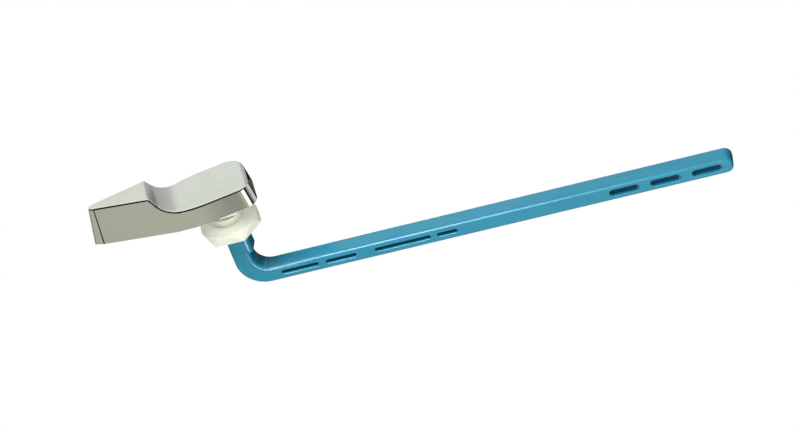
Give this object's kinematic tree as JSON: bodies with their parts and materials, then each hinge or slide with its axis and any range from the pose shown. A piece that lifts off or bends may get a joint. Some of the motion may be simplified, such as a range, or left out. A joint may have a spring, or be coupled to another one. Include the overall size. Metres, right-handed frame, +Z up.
{
  "type": "cistern lever",
  "caption": "Front-mount cistern lever: tapered satin metal handle on a threaded wall bush with a flanged plastic nut, turning an elbowed, slotted plastic arm that lifts the flush chain.",
  "frame": {"origin": "on the turning axis, in the plane where the bush's flange seats on the outside of the cistern wall", "axes": "+X along the arm away from the grip, +Y into the cistern along the turning axis, +Z up"},
  "size_m": [0.261, 0.0649, 0.0304],
  "materials": {
    "satin_nickel": "satin nickel plate on a die-casting",
    "ivory_plastic": "natural moulded plastic",
    "blue_plastic": "glossy moulded plastic",
    "screw_steel": "plain steel"
  },
  "bodies": {
    "bush": {"wall_bush": "ivory_plastic"},
    "lever": {"handle": "satin_nickel", "lift_arm": "blue_plastic", "set_screw": "screw_steel"},
    "nut": {"wall_nut": "ivory_plastic"}
  },
  "joints": [
    {"name": "lever_turn", "type": "hinge", "parent": "bush", "child": "lever", "pos_m": [0, 0, 0], "axis": [0, -1, 0], "range_deg": [0, 30]},
    {"name": "nut_travel", "type": "slide", "parent": "bush", "child": "nut", "axis": [0, 1, 0], "range_m": [-0.0015, 0.007]}
  ]
}
